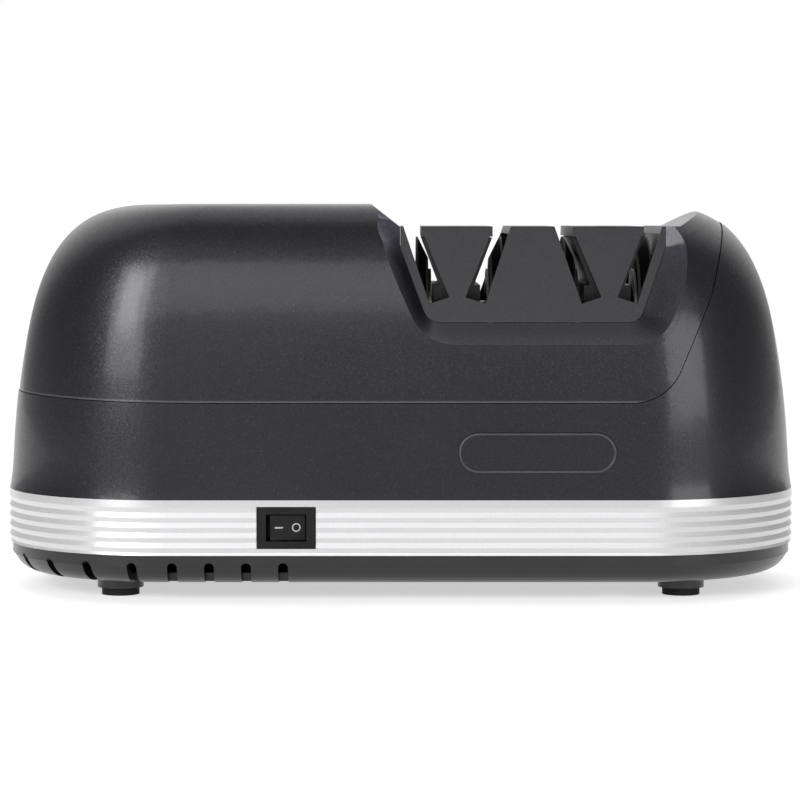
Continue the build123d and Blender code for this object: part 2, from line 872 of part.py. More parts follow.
for stage, middle in zip(("coarse", "fine"), pair_x):
    for hand, side in (("left", -1), ("right", 1)):
        with BuildPart() as wheel:
            add(turned([(middle + side * x, r) for x, r in wheel_points]))
            bore = flat_bore(wheel_bore, wheel_bore - spindle_flat, middle + side * wheel_face_x - side)
            extrude(bore, side * (wheel_hub_x - wheel_face_x + 2), mode=Mode.SUBTRACT)
        save(wheel.part, f"{stage}_wheel_{hand}")
        save(turned([(middle + side * x, r) for x, r in ring_points]), f"{stage}_abrasive_ring_{hand}")
        spring_start = middle + side * wheel_hub_x
        spring_x = min(spring_start, spring_start + side * spring_length) + spring_wire / 2
        with BuildPart() as wheel_spring:
            with BuildLine() as coil:
                Helix(
                    pitch=(spring_length - spring_wire) / spring_turns,
                    height=spring_length - spring_wire,
                    radius=spring_radius,
                    center=(spring_x, 0, spindle_z),
                    direction=(1, 0, 0),
                )
            start = coil.wires()[0]
            with BuildSketch(Plane(origin=start @ 0, z_dir=start % 0)):
                Rectangle(spring_wire, spring_wire)
            sweep(path=start, is_frenet=True)
        save(wheel_spring.part, f"{stage}_wheel_spring_{hand}")

collar_bore = spindle_radius + press_gap
with BuildPart() as stage_spacers:
    for middle in pair_x:
        half = wheel_face_x - stop_gap
        add(sleeve(middle - half, middle + half, spacer_radius, collar_bore))
save(stage_spacers.part, "stage_spacers")

spring_end = wheel_hub_x + spring_length
with BuildPart() as spring_collars:
    left_end = pair_x[0] - spring_end
    right_end = pair_x[1] + spring_end
    add(sleeve(left_end - collar_width, left_end, spring_collar_radius, collar_bore))
    add(sleeve(pair_x[0] + spring_end, pair_x[1] - spring_end, spring_collar_radius, collar_bore))
    add(sleeve(right_end, right_end + collar_width, spring_collar_radius, collar_bore))
save(spring_collars.part, "spring_collars")

# ==================================================================== motor
stack_left = stack_x - stack_length / 2
stack_right = stack_x + stack_length / 2
stack_plane = Plane.YZ.offset(stack_left)

save(sleeve(stack_left, stack_right, rotor_radius, collar_bore), "rotor_core")

with BuildPart() as stator_core:
    with BuildSketch(stack_plane):
        with Locations((0, (stack_bottom + stack_top) / 2)):
            RectangleRounded(2 * stack_half_width, stack_top - stack_bottom, 3)
        with Locations((0, stack_bottom + stack_limb)):
            Rectangle(
                2 * coil_window_half,
                coil_window_top - stack_bottom - stack_limb,
                align=(Align.CENTER, Align.MIN),
                mode=Mode.SUBTRACT,
            )
        with Locations((0, spindle_z)):
            Circle(rotor_radius + air_gap, mode=Mode.SUBTRACT)
        with Locations((-bracket_pillar_y, spindle_z), (bracket_pillar_y, spindle_z)):
            Circle(motor_screw_radius + screw_gap, mode=Mode.SUBTRACT)
    extrude(amount=stack_length)
save(stator_core.part, "stator_core")

limb_middle = stack_bottom + stack_limb / 2


def coil_ring(out, inner, half_width):
    """Rectangular ring round the stator's bottom limb."""
    with BuildPart() as ring_part:
        with BuildSketch(Plane.XZ.offset(-half_width)):
            with Locations((stack_x, limb_middle)):
                RectangleRounded(stack_length + 2 * out, stack_limb + 2 * out, min(out, 4))
                Rectangle(stack_length + 2 * inner, stack_limb + 2 * inner, mode=Mode.SUBTRACT)
        extrude(amount=2 * half_width)
    return ring_part.part


with BuildPart() as coil_bobbin:
    add(coil_ring(bobbin_gap + bobbin_wall, bobbin_gap, coil_window_half - bobbin_gap))
    flange = coil_ring(coil_build, bobbin_gap, bobbin_wall / 2)
    flange_y = coil_window_half - bobbin_gap - bobbin_wall / 2
    add(flange.moved(Location((0, flange_y, 0))))
    add(flange.moved(Location((0, -flange_y, 0))))
save(coil_bobbin.part, "coil_bobbin")

winding_half = coil_window_half - bobbin_gap - bobbin_wall - press_gap
save(
    coil_ring(coil_build - bobbin_wall, bobbin_gap + bobbin_wall + press_gap, winding_half),
    "coil_winding",
)

for hand, side in (("left", -1), ("right", 1)):
    face = stack_x + side * stack_length / 2
    plate = face + side * bracket_reach
    with BuildPart() as motor_bracket:
        with BuildSketch(spindle_plane.offset(plate)):
            SlotOverall(2 * (bracket_pillar_y + bracket_half_height), 2 * bracket_half_height)
        extrude(amount=side * bracket_plate)
        with BuildSketch(spindle_plane.offset(face)):
            with Locations((-bracket_pillar_y, 0), (bracket_pillar_y, 0)):
                Circle(bracket_pillar_radius)
        extrude(amount=side * bracket_reach)
        boss_start = plate + side * (bracket_plate + 1 - bush_length)
        with BuildSketch(spindle_plane.offset(boss_start)):
            Circle(bracket_half_height)
        extrude(amount=side * bush_length)
        with BuildSketch(spindle_plane.offset(boss_start - side)):
            Circle(bush_radius + press_gap)
        extrude(amount=side * (bush_length + 2), mode=Mode.SUBTRACT)
        with BuildSketch(spindle_plane.offset(face - side)):
            with Locations((-bracket_pillar_y, 0), (bracket_pillar_y, 0)):
                Circle(motor_screw_radius + screw_gap)
        extrude(amount=side * (bracket_reach + bracket_plate + 2), mode=Mode.SUBTRACT)
    save(motor_bracket.part, f"motor_bracket_{hand}")
    save(
        sleeve(boss_start, boss_start + side * bush_length, bush_radius, spindle_radius + running_gap),
        f"motor_bush_{hand}",
    )

screw_start = stack_left - bracket_reach - bracket_plate
screw_end = stack_right + bracket_reach + bracket_plate
with BuildPart() as motor_screws:
    with BuildSketch(spindle_plane.offset(screw_start)):
        with Locations((-bracket_pillar_y, 0), (bracket_pillar_y, 0)):
            Circle(motor_screw_radius)
    extrude(amount=screw_end + motor_nut_height - screw_start)
    with BuildSketch(spindle_plane.offset(screw_start)):
        with Locations((-bracket_pillar_y, 0), (bracket_pillar_y, 0)):
            Circle(motor_head_radius)
    extrude(amount=-motor_nut_height)
    with BuildSketch(spindle_plane.offset(screw_end)):
        with Locations((-bracket_pillar_y, 0), (bracket_pillar_y, 0)):
            RegularPolygon(motor_head_radius, 6)
    extrude(amount=motor_nut_height)
save(motor_screws.part, "motor_screws")

with BuildPart() as cooling_fan:
    add(sleeve(fan_x - fan_width / 2, fan_x + fan_width / 2, fan_hub_radius, collar_bore))
    add(sleeve(fan_x + fan_width / 2 - fan_disc, fan_x + fan_width / 2, fan_radius, collar_bore))
    with BuildSketch(spindle_plane.offset(fan_x - fan_width / 2)):
        with PolarLocations(fan_hub_radius - 1, fan_blades):
            Rectangle(fan_radius - fan_hub_radius, fan_blade, align=(Align.MIN, Align.CENTER))
    extrude(amount=fan_width)
save(cooling_fan.part, "cooling_fan")

# ============================================================ spindle's end
with BuildPart() as end_bracket:
    with BuildSketch(spindle_plane.offset(end_bracket_x - end_plate / 2)) as end_face:
        Circle(bracket_half_height)
        Polygon(
            (-bracket_half_height, 0),
            (-end_bracket_half_width, end_seat_z - spindle_z),
            (end_bracket_half_width, end_seat_z - spindle_z),
            (bracket_half_height, 0),
            align=None,
        )
    extrude(amount=end_plate)
    with BuildSketch(Plane.XY.offset(end_seat_z)):
        with Locations((end_bracket_x, 0)):
            RectangleRounded(end_foot_length, 2 * end_foot_half_width, end_plate)
    extrude(amount=end_plate)
    with BuildSketch(Plane.XY.offset(end_seat_z)):
        with Locations(*end_seats):
            Circle(screw_radius + screw_gap)
    extrude(amount=2 * end_plate, mode=Mode.SUBTRACT)
    with BuildSketch(spindle_plane.offset(end_bracket_x - bush_length / 2)):
        Circle(bracket_half_height)
    extrude(amount=bush_length)
    with BuildSketch(spindle_plane.offset(end_bracket_x - bush_length)):
        Circle(bush_radius + press_gap)
    extrude(amount=2 * bush_length, mode=Mode.SUBTRACT)
save(end_bracket.part, "end_bracket")

with BuildPart() as bracket_screws:
    with BuildSketch(Plane.XY.offset(end_seat_z + end_plate)):
        with Locations(*end_seats):
            Circle(screw_head_radius)
    extrude(amount=screw_head_height)
    with BuildSketch(Plane.XY.offset(end_seat_z + end_plate)):
        with Locations(*end_seats):
            Circle(screw_radius - press_gap)
    extrude(amount=base_floor - end_seat_z)
save(bracket_screws.part, "bracket_screws")

save(
    sleeve(
        end_bracket_x - bush_length / 2,
        end_bracket_x + bush_length / 2,
        bush_radius,
        spindle_radius + running_gap,
    ),
    "end_bush",
)

# =================================================================== switch
pivot_y = switch_face_y + rocker_pivot_depth
pivot = (switch_x, pivot_y, switch_z)
rocker_half = rocker_length / 2 - rocker_side_gap
rocker_front = rocker_pivot_depth - rocker_half * sin(radians(rocker_tilt)) - rocker_rest_gap

with BuildPart() as switch_body:
    with Locations((switch_x, switch_face_y, switch_z)):
        Box(bezel_length, skirt_out, bezel_height, align=(Align.CENTER, Align.MIN, Align.CENTER))
        Box(
            switch_body_length,
            skirt_out + switch_body_depth,
            switch_body_height,
            align=(Align.CENTER, Align.MIN, Align.CENTER),
        )
        Box(
            rocker_length,
            rocker_well,
            rocker_height,
            align=(Align.CENTER, Align.MIN, Align.CENTER),
            mode=Mode.SUBTRACT,
        )
    with Locations(pivot):
        Cylinder(rocker_pin_radius + running_gap, switch_body_height + 2, mode=Mode.SUBTRACT)
save(switch_body.part, "switch_body")

with BuildPart() as switch_rocker:
    half_z = rocker_height / 2 - rocker_gap
    with BuildSketch(Plane.XY.offset(-half_z)):
        Polygon(
            (-rocker_half, -rocker_front),
            (0, rocker_dip - rocker_front),
            (rocker_half, -rocker_front),
            (rocker_back_half, rocker_back),
            (-rocker_back_half, rocker_back),
            align=None,
        )
    extrude(amount=2 * half_z)
    Cylinder(rocker_pin_radius, switch_body_height)
rocker = switch_rocker.part.rotate(Axis.Z, rocker_tilt).moved(Location(pivot))
save(rocker, "switch_rocker")

with BuildPart() as switch_terminals:
    terminal_y = switch_face_y + skirt_out + switch_body_depth
    with Locations(
        (switch_x - terminal_x, terminal_y, switch_z), (switch_x + terminal_x, terminal_y, switch_z)
    ):
        Box(
            terminal_thickness,
            terminal_length,
            terminal_width,
            align=(Align.CENTER, Align.MIN, Align.CENTER),
        )
save(switch_terminals.part, "switch_terminals")

# =============================================================== cord gland
with BuildPart() as cord_gland:
    gland_seat = wall_y(gland_z + gland_flange_radius, band_step + wall)
    gland_inner = gland_seat - gland_flange_thickness - gland_gap
    with Locations(Location((gland_x, gland_inner, gland_z), (-90, 0, 0))):
        Cylinder(
            gland_flange_radius, gland_flange_thickness, align=(Align.CENTER, Align.CENTER, Align.MIN)
        )
        Cylinder(gland_radius, gland_length, align=(Align.CENTER, Align.CENTER, Align.MIN))
        Cylinder(
            gland_bore,
            gland_length,
            align=(Align.CENTER, Align.CENTER, Align.MIN),
            mode=Mode.SUBTRACT,
        )
save(cord_gland.part, "cord_gland")
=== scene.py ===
import json
from math import atan, atan2, cos, pi, radians, sin

import bmesh
import bpy
from mathutils import Matrix, Vector


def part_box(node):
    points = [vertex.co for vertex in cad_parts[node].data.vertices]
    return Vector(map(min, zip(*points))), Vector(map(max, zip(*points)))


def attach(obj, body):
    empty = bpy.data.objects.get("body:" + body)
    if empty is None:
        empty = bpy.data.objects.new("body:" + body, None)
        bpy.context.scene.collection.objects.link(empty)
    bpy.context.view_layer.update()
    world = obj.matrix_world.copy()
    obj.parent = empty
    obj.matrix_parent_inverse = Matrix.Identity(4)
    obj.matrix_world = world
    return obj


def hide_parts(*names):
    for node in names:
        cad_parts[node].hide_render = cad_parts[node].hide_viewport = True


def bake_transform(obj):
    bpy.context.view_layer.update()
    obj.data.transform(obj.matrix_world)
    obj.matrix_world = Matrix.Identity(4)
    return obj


# Metres, in the frame's axes: +X to the slotted end, +Y to the back, +Z up.
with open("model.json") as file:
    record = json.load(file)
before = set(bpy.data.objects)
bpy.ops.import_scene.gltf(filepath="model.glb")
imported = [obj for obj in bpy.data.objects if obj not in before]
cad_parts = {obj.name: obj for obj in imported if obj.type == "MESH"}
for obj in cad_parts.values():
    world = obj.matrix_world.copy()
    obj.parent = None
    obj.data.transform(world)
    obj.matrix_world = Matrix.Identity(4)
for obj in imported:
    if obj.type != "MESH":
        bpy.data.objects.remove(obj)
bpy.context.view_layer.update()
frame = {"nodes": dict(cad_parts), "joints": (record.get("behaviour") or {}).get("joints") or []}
nodes = frame["nodes"]
joints = {joint["name"]: joint for joint in frame["joints"]}

bpy.context.scene.view_settings.view_transform = "Standard"

# ---------------------------------------------------- places in the frame
BAND_LOW, BAND_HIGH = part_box("trim_band")
BLOCK_LOW, BLOCK_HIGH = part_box("slot_block")
COVER_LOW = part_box("upper_cover")[0]
BLOCK_X = (BLOCK_LOW.x + BLOCK_HIGH.x) / 2
STAGE_PITCH = 0.040
SPINDLE_Z = joints["spindle_turn"]["pos_m"][2]
ROCKER_PIVOT = joints["switch_rock"]["pos_m"]

# ---------------------------------------------------------------- camera
PICTURE_SIDE = 800.0  # pixels
FOCAL = 2900.0  # pixels
HORIZON_RISE = 185.0  # pixels from the picture's middle up to the horizon
SENSOR = 36.0  # millimetres
EYE = (-0.0002, -0.7975, 0.1009)


def make_camera():
    data = bpy.data.cameras.new("camera")
    data.sensor_width = SENSOR
    data.lens = FOCAL / PICTURE_SIDE * SENSOR
    data.clip_start = 0.05
    data.clip_end = 50.0
    camera = bpy.data.objects.new("camera", data)
    camera.location = EYE
    camera.rotation_euler = (pi / 2 - atan(HORIZON_RISE / FOCAL), 0.0, 0.0)
    bpy.context.scene.collection.objects.link(camera)
    bpy.context.scene.camera = camera


make_camera()


# ------------------------------------------------------------- shader nodes
def feed(tree, socket, value):
    """Set a number or a tuple on a socket, or link another node's output to it."""
    if isinstance(value, (int, float, tuple)):
        socket.default_value = value
    else:
        tree.links.new(value, socket)


def math_node(tree, kind, *values):
    node = tree.nodes.new("ShaderNodeMath")
    node.operation = kind
    for socket, value in zip(node.inputs, values):
        feed(tree, socket, value)
    return node.outputs["Value"]


def vector_node(tree, kind, *values, scale=None):
    node = tree.nodes.new("ShaderNodeVectorMath")
    node.operation = kind
    for socket, value in zip(node.inputs, values):
        feed(tree, socket, value)
    if scale is not None:
        feed(tree, node.inputs["Scale"], scale)
    return node.outputs["Value" if kind == "LENGTH" else "Vector"]


def map_range(tree, value, start, end, low, high, interpolation="LINEAR"):
    node = tree.nodes.new("ShaderNodeMapRange")
    node.interpolation_type = interpolation
    for name, number in (("From Min", start), ("From Max", end), ("To Min", low), ("To Max", high)):
        node.inputs[name].default_value = number
    tree.links.new(value, node.inputs["Value"])
    return node.outputs["Result"]


def smooth_range(tree, value, start, end, low, high):
    return map_range(tree, value, start, end, low, high, "SMOOTHSTEP")


def mix_colour(tree, share, first, second):
    """Mix two colours; each is a tuple or another node's output."""
    node = tree.nodes.new("ShaderNodeMix")
    node.data_type = "RGBA"
    factor, first_colour, second_colour, result = 0, 6, 7, 2  # the node's sockets for colours
    feed(tree, node.inputs[factor], share)
    for place, value in ((first_colour, first), (second_colour, second)):
        feed(tree, node.inputs[place], (*value, 1.0) if isinstance(value, tuple) else value)
    return node.outputs[result]


def texture_space(tree, stretch=(1.0, 1.0, 1.0)):
    coord = tree.nodes.new("ShaderNodeTexCoord")
    place = tree.nodes.new("ShaderNodeMapping")
    place.inputs["Scale"].default_value = stretch
    tree.links.new(coord.outputs["Object"], place.inputs["Vector"])
    return place.outputs["Vector"]


def axes_of(tree, vector):
    """The outputs X, Y and Z of a vector."""
    node = tree.nodes.new("ShaderNodeSeparateXYZ")
    tree.links.new(vector, node.inputs["Vector"])
    return [node.outputs[axis] for axis in "XYZ"]


def normal_of(tree):
    return tree.nodes.new("ShaderNodeNewGeometry").outputs["Normal"]


def noise(tree, vector, scale, detail, rough):
    node = tree.nodes.new("ShaderNodeTexNoise")
    node.inputs["Scale"].default_value = scale
    node.inputs["Detail"].default_value = detail
    node.inputs["Roughness"].default_value = rough
    tree.links.new(vector, node.inputs["Vector"])
    return node.outputs["Fac"]


def bump(tree, shader, value, strength, distance):
    node = tree.nodes.new("ShaderNodeBump")
    node.inputs["Strength"].default_value = strength
    node.inputs["Distance"].default_value = distance
    tree.links.new(value, node.inputs["Height"])
    tree.links.new(node.outputs["Normal"], shader.inputs["Normal"])


# ----------------------------------------------------- kinds of material
def material(name):
    mat = bpy.data.materials.new(name)
    mat.use_nodes = True
    tree = mat.node_tree
    return mat, tree, tree.nodes["Principled BSDF"]


MOTTLE_SPAN = (0.35, 0.65)  # of the noise, between a surface's two tones
PAINT_SPAN = (0.3, 0.7)  # of the noise, between the two glosses of a paint
PAINT_MOTTLE = 35.0
PAINT_GLOSS_SPREAD = 0.02


def surface(name, dark, light, rough=(0.3, 0.4), metal=0.0, grain=900.0, height=0.00002,
            strength=0.15, coat=0.0, coat_rough=0.1, stretch=(1.0, 1.0, 1.0), mottled=60.0, specular=0.5):
    """Plain moulded or machined surface: fine grain, faint mottling, broken gloss."""
    mat, tree, shader = material(name)
    space = texture_space(tree, stretch)
    fine = noise(tree, space, grain, detail=3.0, rough=0.6)
    broad = noise(tree, space, mottled, detail=4.0, rough=0.55)
    tone = map_range(tree, broad, *MOTTLE_SPAN, 0.0, 1.0)
    gloss = map_range(tree, broad, *MOTTLE_SPAN, *rough)
    tree.links.new(mix_colour(tree, tone, dark, light), shader.inputs["Base Color"])
    tree.links.new(gloss, shader.inputs["Roughness"])
    shader.inputs["Metallic"].default_value = metal
    shader.inputs["Coat Weight"].default_value = coat
    shader.inputs["Coat Roughness"].default_value = coat_rough
    shader.inputs["Specular IOR Level"].default_value = specular
    bump(tree, shader, fine, strength, height)
    mat.diffuse_color = (*light, 1.0)
    return mat


def paint(name, base, flake, share, rough, metal, coat, coat_rough, spread, cell=4200.0):
    """Metallic paint: a base with sparse brighter flakes that tilt a little, under a clear coat."""
    mat, tree, shader = material(name)
    space = texture_space(tree)
    flakes = tree.nodes.new("ShaderNodeTexVoronoi")
    flakes.inputs["Scale"].default_value = cell
    tree.links.new(space, flakes.inputs["Vector"])
    chance = tree.nodes.new("ShaderNodeSeparateColor")
    tree.links.new(flakes.outputs["Color"], chance.inputs["Color"])
    bright = map_range(tree, chance.outputs["Red"], 1.0 - share, 1.0, 0.0, 1.0)
    tree.links.new(mix_colour(tree, bright, base, flake), shader.inputs["Base Color"])
    broad = noise(tree, space, PAINT_MOTTLE, detail=3.0, rough=0.5)
    gloss = map_range(tree, broad, *PAINT_SPAN, rough - PAINT_GLOSS_SPREAD, rough + PAINT_GLOSS_SPREAD)
    tree.links.new(gloss, shader.inputs["Roughness"])
    centred = vector_node(tree, "SUBTRACT", flakes.outputs["Color"], (0.5, 0.5, 0.5))
    lean = vector_node(tree, "SCALE", centred, scale=spread)
    leaning = vector_node(tree, "ADD", normal_of(tree), lean)
    tree.links.new(vector_node(tree, "NORMALIZE", leaning), shader.inputs["Normal"])
    shader.inputs["Metallic"].default_value = metal
    shader.inputs["Coat Weight"].default_value = coat
    shader.inputs["Coat Roughness"].default_value = coat_rough
    mat.diffuse_color = (*base, 1.0)
    return mat


def colour_so_far(mat):
    return mat.node_tree.nodes["Principled BSDF"].inputs["Base Color"].links[0].from_socket


def set_colour(mat, output):
    mat.node_tree.links.new(output, mat.node_tree.nodes["Principled BSDF"].inputs["Base Color"])


# ------------------------------------------- painted highlights and shade that single materials add
SEAM_BEND_X = BAND_LOW.x + 0.0623  # left of here the seam climbs
SEAM_RISE = 0.0022
SEAM_RUN = 0.0723  # the length over which it climbs by SEAM_RISE
SEAM_HIGHLIGHT_BAND = (0.0002, 0.0007)  # the painted highlight is full up to the first height and gone at the second


def seam_highlight(mat, highlight_colour):
    """Painted highlight: lighten the cover's lower edge, where its rounded lip over the seam catches the
    light.
    """
    tree = mat.node_tree
    x, _, z = axes_of(tree, texture_space(tree))
    left = math_node(tree, "MAXIMUM", math_node(tree, "SUBTRACT", SEAM_BEND_X, x), 0.0)
    squared = math_node(tree, "MULTIPLY", left, left)
    climb = math_node(tree, "MULTIPLY", squared, SEAM_RISE / SEAM_RUN ** 2)
    over = math_node(tree, "SUBTRACT", math_node(tree, "SUBTRACT", z, COVER_LOW.z), climb)
    near = smooth_range(tree, over, *SEAM_HIGHLIGHT_BAND, 1.0, 0.0)
    set_colour(mat, mix_colour(tree, near, colour_so_far(mat), highlight_colour))


FACE_LEAN = radians(18.0)  # of the block's face
TURNED = (0.30, 0.45)  # part of a normal along an axis, from which a face counts as turned that way
LEDGE_TOP_Z = 0.0745
VALLEY = (0.001, 0.008)  # distance out from the block's face
RIM_Z = (0.086, 0.100)
# Gains: below 1 is painted shade in the valley, above 1 is painted highlight at the crease and near the rim.
VALLEY_GAIN, CREASE_GAIN, RIM_GAIN = 0.6, 3.4, 4.5


def paint_recess_shade_and_highlight(mat):
    """Painted shade and highlight: grade the recess walls and ledge from a darkened valley beside the block
    to a lightened crease at the body's face, lightened also towards the top rim.
    """
    tree = mat.node_tree
    x, y, z = axes_of(tree, texture_space(tree))
    across, _, upward = axes_of(tree, normal_of(tree))
    depth = math_node(tree, "SUBTRACT", math_node(tree, "ABSOLUTE", y), BLOCK_HIGH.y)
    depth = math_node(tree, "MULTIPLY", depth, cos(FACE_LEAN))
    height = math_node(tree, "SUBTRACT", z, BLOCK_LOW.z)
    out_of_valley = math_node(tree, "ADD", depth, math_node(tree, "MULTIPLY", height, sin(FACE_LEAN)))
    hand = math_node(tree, "SIGN", math_node(tree, "SUBTRACT", BLOCK_X, x))
    inward = math_node(tree, "MULTIPLY", across, hand)
    wall = smooth_range(tree, inward, *TURNED, 0.0, 1.0)
    low = math_node(tree, "LESS_THAN", z, LEDGE_TOP_Z)
    ledge = math_node(tree, "MULTIPLY", smooth_range(tree, upward, *TURNED, 0.0, 1.0), low)
    share = math_node(tree, "MAXIMUM", wall, ledge)
    crease = smooth_range(tree, out_of_valley, *VALLEY, VALLEY_GAIN, CREASE_GAIN)
    rim = smooth_range(tree, z, *RIM_Z, VALLEY_GAIN, RIM_GAIN)
    grade = math_node(tree, "MAXIMUM", crease, rim)
    extra = math_node(tree, "MULTIPLY", math_node(tree, "SUBTRACT", grade, 1.0), share)
    gain = math_node(tree, "ADD", extra, 1.0)
    set_colour(mat, vector_node(tree, "SCALE", colour_so_far(mat), scale=gain))


WHEEL_HIGHLIGHT_INNER = (0.0159, 0.0161)  # radii between which the painted highlight ring fades in
WHEEL_HIGHLIGHT_OUTER = (0.0173, 0.0176)  # and out


def wheel_edge_highlight(mat, highlight_colour):
    """Painted highlight: a light ring where each wheel's cone meets its face."""
    tree = mat.node_tree
    _, y, z = axes_of(tree, texture_space(tree))
    up = math_node(tree, "SUBTRACT", z, SPINDLE_Z)
    squares = [math_node(tree, "MULTIPLY", side, side) for side in (y, up)]
    radius = math_node(tree, "SQRT", math_node(tree, "ADD", *squares))
    inner = smooth_range(tree, radius, *WHEEL_HIGHLIGHT_INNER, 0.0, 1.0)
    outer = smooth_range(tree, radius, *WHEEL_HIGHLIGHT_OUTER, 1.0, 0.0)
    share = math_node(tree, "MULTIPLY", inner, outer)
    set_colour(mat, mix_colour(tree, share, colour_so_far(mat), highlight_colour))


# ------------------------------------------------------------- materials
def grey(level):
    return (level, level, level)


BODY_PAINT = dict(base=(0.0172, 0.0169, 0.0218), flake=(0.048, 0.047, 0.058), share=0.12, rough=0.36,
                  metal=0.35, coat=0.40, coat_rough=0.13, spread=0.13, cell=5200.0)
charcoal = paint("charcoal_paint", **BODY_PAINT)
cover_paint = paint("charcoal_cover", **BODY_PAINT)
# Painted shade in the recess valley and painted highlight at its crease and rim.
paint_recess_shade_and_highlight(cover_paint)
# Painted highlight along the cover's lower edge at the seam.
seam_highlight(cover_paint, (0.10, 0.10, 0.11))
charcoal_block = paint("charcoal_block", base=(0.0195, 0.0190, 0.0228), flake=(0.045, 0.043, 0.051),
                       share=0.12, rough=0.42, metal=0.25, coat=0.2, coat_rough=0.25, spread=0.10,
                       cell=5200.0)
ring_paint = paint("charcoal_ring", base=(0.060, 0.059, 0.066), flake=(0.10, 0.10, 0.11), share=0.14,
                   rough=0.30, metal=0.4, coat=0.4, coat_rough=0.15, spread=0.08)
# The silver's roughness stays above 0.27: renders show hair lines where it crosses that value.
silver = paint("silver_paint", base=(0.75, 0.75, 0.76), flake=(0.80, 0.80, 0.81), share=0.3, rough=0.31,
               metal=0.30, coat=0.3, coat_rough=0.14, spread=0.02)
tray = surface("black_tray", grey(0.006), grey(0.009), rough=(0.29, 0.35), grain=1800.0, height=0.000012,
               coat=0.2, coat_rough=0.2)
rubber = surface("foot_rubber", grey(0.009), grey(0.014), rough=(0.6, 0.75), grain=1200.0, height=0.00003,
                 strength=0.4, specular=0.25)
black = surface("guide_black", (0.008, 0.008, 0.009), (0.014, 0.014, 0.015), rough=(0.3, 0.42),
                grain=1500.0, strength=0.2)
wheel_dark = surface("wheel_dark", (0.014, 0.013, 0.014), (0.035, 0.033, 0.034), rough=(0.5, 0.7),
                     metal=0.3, grain=2500.0, height=0.00006, strength=0.6, mottled=300.0)
# Painted highlight on each wheel's edge.
wheel_edge_highlight(wheel_dark, (0.62, 0.60, 0.56))
light_grit = surface("fine_abrasive", (0.50, 0.47, 0.42), (0.66, 0.64, 0.60), rough=(0.35, 0.5),
                     metal=0.5, grain=3000.0, height=0.00004, strength=0.5, mottled=300.0)
steel = surface("bright_steel", (0.45, 0.45, 0.46), (0.58, 0.58, 0.59), rough=(0.2, 0.32), metal=1.0,
                grain=1800.0, height=0.00001, strength=0.2, stretch=(0.05, 1.0, 1.0))
sheets = surface("core_sheets", (0.16, 0.16, 0.17), (0.30, 0.30, 0.31), rough=(0.35, 0.5), metal=0.9,
                 grain=1500.0, height=0.00006, strength=0.5, stretch=(8.0, 0.05, 0.05))
copper = surface("copper_winding", (0.42, 0.16, 0.06), (0.62, 0.27, 0.11), rough=(0.25, 0.4), metal=0.9,
                 grain=1500.0, height=0.00012, strength=0.6, stretch=(0.05, 3.0, 0.05))
bobbin = surface("bobbin_white", (0.62, 0.60, 0.55), (0.70, 0.68, 0.63), rough=(0.4, 0.5))
bronze = surface("bronze", (0.38, 0.24, 0.10), (0.50, 0.34, 0.15), rough=(0.3, 0.5), metal=1.0,
                 grain=2200.0, height=0.00003, strength=0.4)
alloy = surface("cast_alloy", (0.42, 0.42, 0.43), (0.54, 0.54, 0.55), rough=(0.35, 0.5), metal=1.0,
                height=0.00004, strength=0.4)
fan_grey = surface("fan_grey", grey(0.10), grey(0.15), rough=(0.4, 0.5))
switch_black = surface("switch_black", (0.010, 0.010, 0.011), (0.017, 0.017, 0.018), rough=(0.35, 0.45),
                       grain=1800.0, strength=0.25, specular=0.2)
mark_white = surface("mark_white", grey(0.50), grey(0.60), rough=(0.5, 0.6))
mark_dark = surface("mark_dark", grey(0.010), grey(0.016), rough=(0.5, 0.6))

FINISH = {
    "upper_cover": cover_paint, "lower_housing": charcoal, "housing_cheek": charcoal,
    "slot_block": charcoal_block, "trim_band": silver, "base_tray": tray, "rubber_feet": rubber,
    "base_screws": steel, "coarse_blade_guide": black, "fine_blade_guide": black,
    "stator_core": sheets, "rotor_core": sheets, "coil_bobbin": bobbin, "coil_winding": copper,
    "motor_bracket_left": alloy, "motor_bracket_right": alloy, "end_bracket": alloy,
    "motor_bush_left": bronze, "motor_bush_right": bronze, "end_bush": bronze,
    "motor_screws": steel, "bracket_screws": steel, "switch_body": switch_black,
    "switch_rocker": switch_black, "switch_terminals": bronze, "cord_gland": rubber,
    "spindle_shaft": steel, "cooling_fan": fan_grey, "stage_spacers": steel, "spring_collars": steel,
}


def finish_for(name):
    """A node's own finish, or that of its family: abrasive rings, springs and wheels."""
    if name in FINISH:
        return FINISH[name]
    if "abrasive_ring" in name:
        return light_grit
    if "spring" in name:
        return steel
    return wheel_dark


for name, node in nodes.items():
    for slot in node.material_slots:
        slot.material = finish_for(name)

# ---------------------------------------------------------------- stage
WHITE = (1.0, 1.0, 1.0, 1.0)
FLOOR_SIZE = 30.0
FLOOR_COLOUR = 0.82
FLOOR_GLOW = 0.55  # of the floor near the object, as the camera sees it
FLOOR_FADE = (0.13, 0.40)  # distances from the origin: shadowed floor up to the first, white from the second
DIM, FULL = 0.13, 1.0  # the world's light in front and behind
WORLD_TURN = (0.70, 1.25)  # where it goes from dim to full, by how far a ray points back and up
WORLD_UP = 1.1  # weight of up against back


def seen_rays(tree):
    """Two outputs that are 1 for rays that show the background: seen or through glass, and also reflected."""
    path = tree.nodes.new("ShaderNodeLightPath")
    direct = math_node(tree, "MAXIMUM", path.outputs["Is Camera Ray"], path.outputs["Is Transmission Ray"])
    return direct, math_node(tree, "MAXIMUM", direct, path.outputs["Is Glossy Ray"])


def mix_shaders(tree, share, first, second):
    node = tree.nodes.new("ShaderNodeMixShader")
    for place, output in enumerate((share, first, second)):
        tree.links.new(output, node.inputs[place])
    return node.outputs["Shader"]


